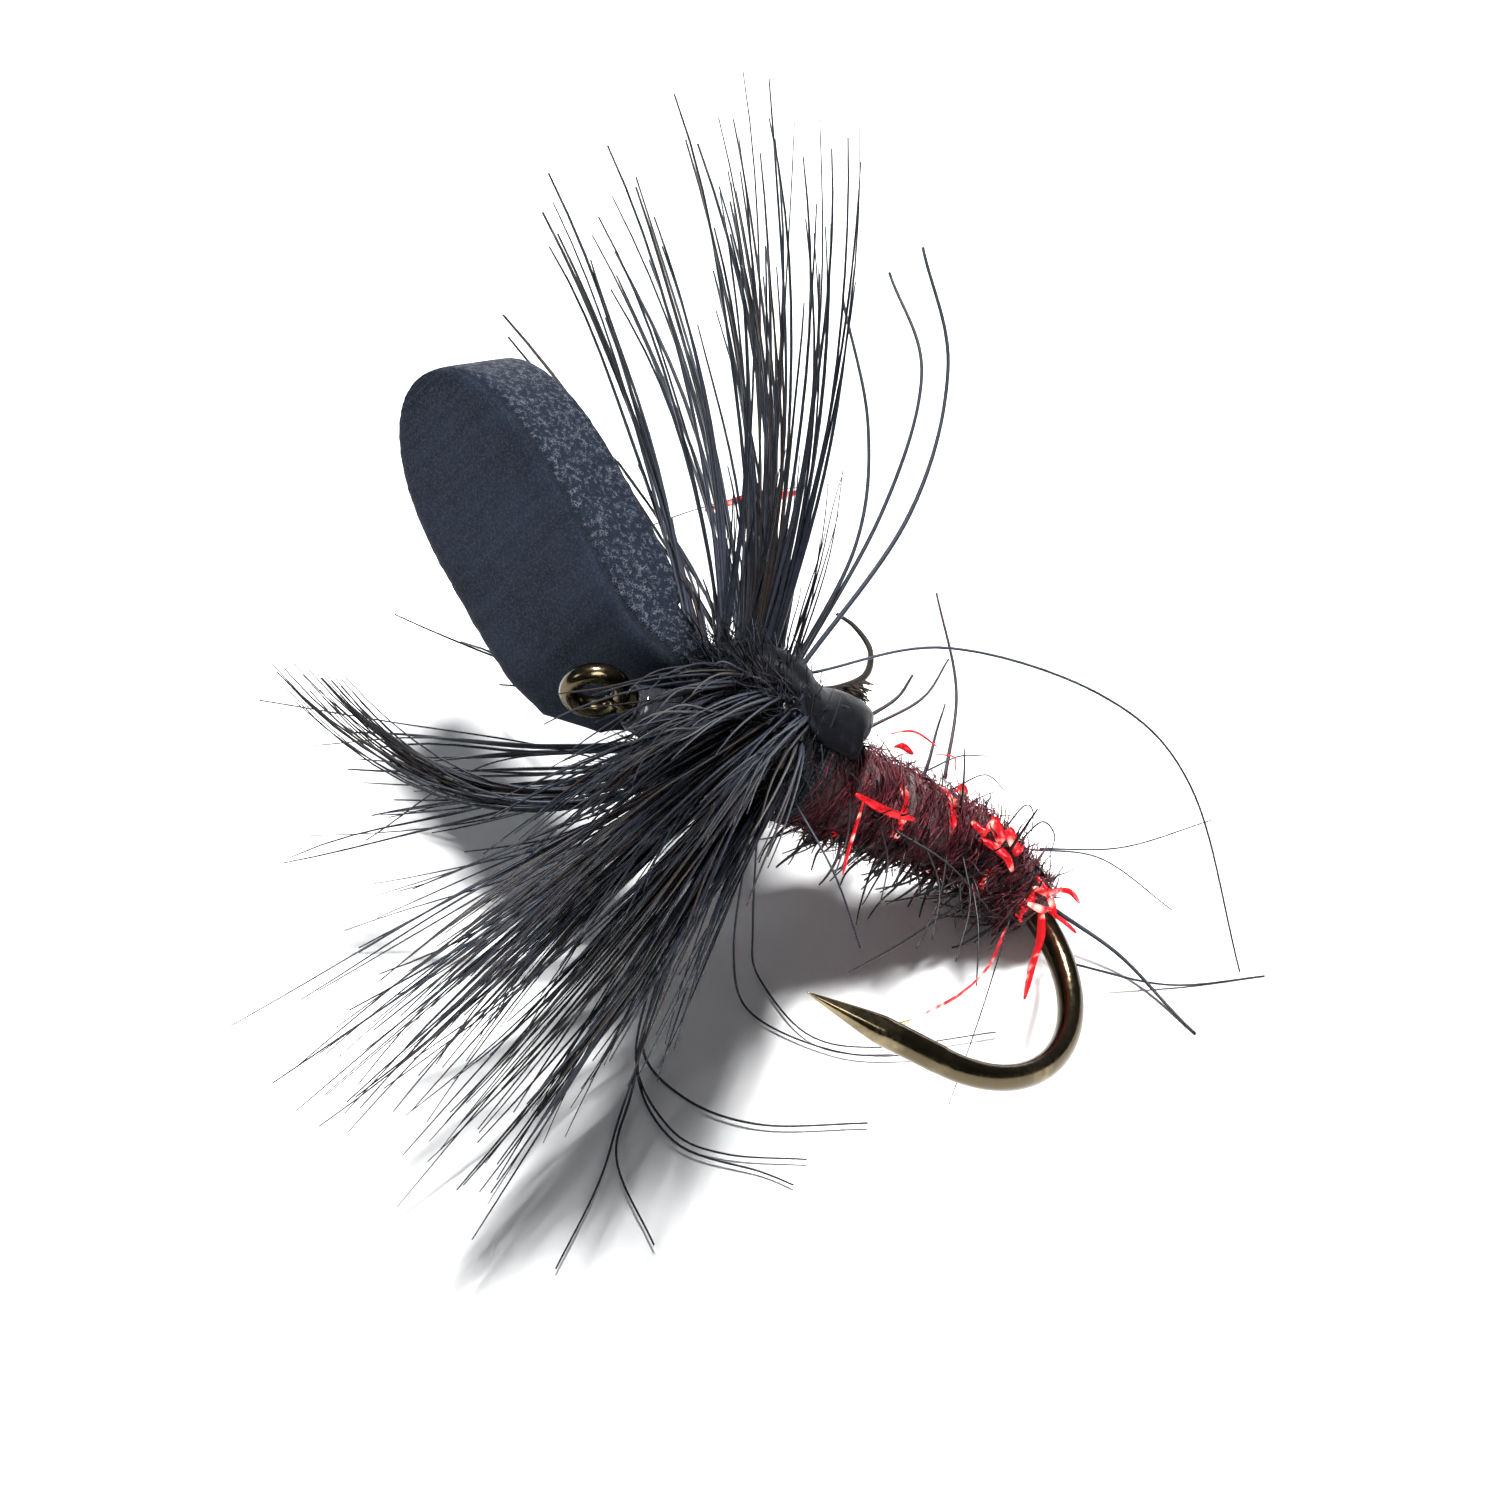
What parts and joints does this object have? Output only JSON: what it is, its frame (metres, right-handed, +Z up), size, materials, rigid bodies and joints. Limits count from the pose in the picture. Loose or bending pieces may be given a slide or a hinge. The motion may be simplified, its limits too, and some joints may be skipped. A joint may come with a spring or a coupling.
{
  "type": "dry fly",
  "caption": "Hackled dry fly on a barbed bronze hook: claret dubbed body with red tinsel, black foam paddle over the eye and a dense black hackle, for surface fishing.",
  "frame": {"origin": "centre of the hook eye's bore", "axes": "+Z up from the level surface the fly lies on its side on; +X the level heading from the eye towards the bend; +Y towards the fly's back (the foam side), so the gape opens towards -Y. The shank is pitched 35 degrees nose-up about +Y"},
  "size_m": [0.0216, 0.0231, 0.0167],
  "materials": {
    "bronze_wire": "satin bronze lacquer",
    "tying_thread": "waxed",
    "head_cement": "gloss",
    "foam_black": "matte closed-cell foam",
    "hackle_black": "glossy feather",
    "hackle_stem": "satin",
    "feather_brown": "webby feather",
    "dubbing_claret": "coarse fur",
    "dubbing_black": "coarse fur",
    "tinsel_red": "metallic film"
  },
  "bodies": {
    "fly": {"hook": "bronze_wire", "thread_base": "tying_thread", "thread_head": "tying_thread", "head_cement": "head_cement", "whip_finish": "tying_thread", "front_thread_band": "tying_thread", "rear_thread_band": "tying_thread", "thorax_dubbing": "dubbing_black", "foam_back": "foam_black", "body_dubbing": "dubbing_claret", "tinsel_rib": "tinsel_red", "tinsel_tag": "tinsel_red", "front_hackle_stem": "hackle_stem", "rear_hackle_stem": "hackle_stem", "front_hackle_upper_barbs": "hackle_black", "front_hackle_under_barbs": "hackle_black", "front_hackle_low_barbs": "hackle_black", "rear_hackle_top_barbs": "hackle_black", "rear_hackle_upper_barbs": "hackle_black", "rear_hackle_under_barbs": "hackle_black", "rear_hackle_low_barbs": "hackle_black", "stray_barbs": "hackle_black", "guard_hairs": "dubbing_black", "flash_strands": "tinsel_red", "feather_flue": "feather_brown"},
    "paddle": {"foam_paddle": "foam_black"}
  },
  "joints": [
    {"name": "foam_paddle_flex", "type": "hinge", "parent": "fly", "child": "paddle", "pos_m": [0.00086, 0.00135, -0.0006], "axis": [0.5736, 0, 0.8192], "range_deg": [-8, 20], "stiffness_Nm_per_rad": 0.00002}
  ]
}
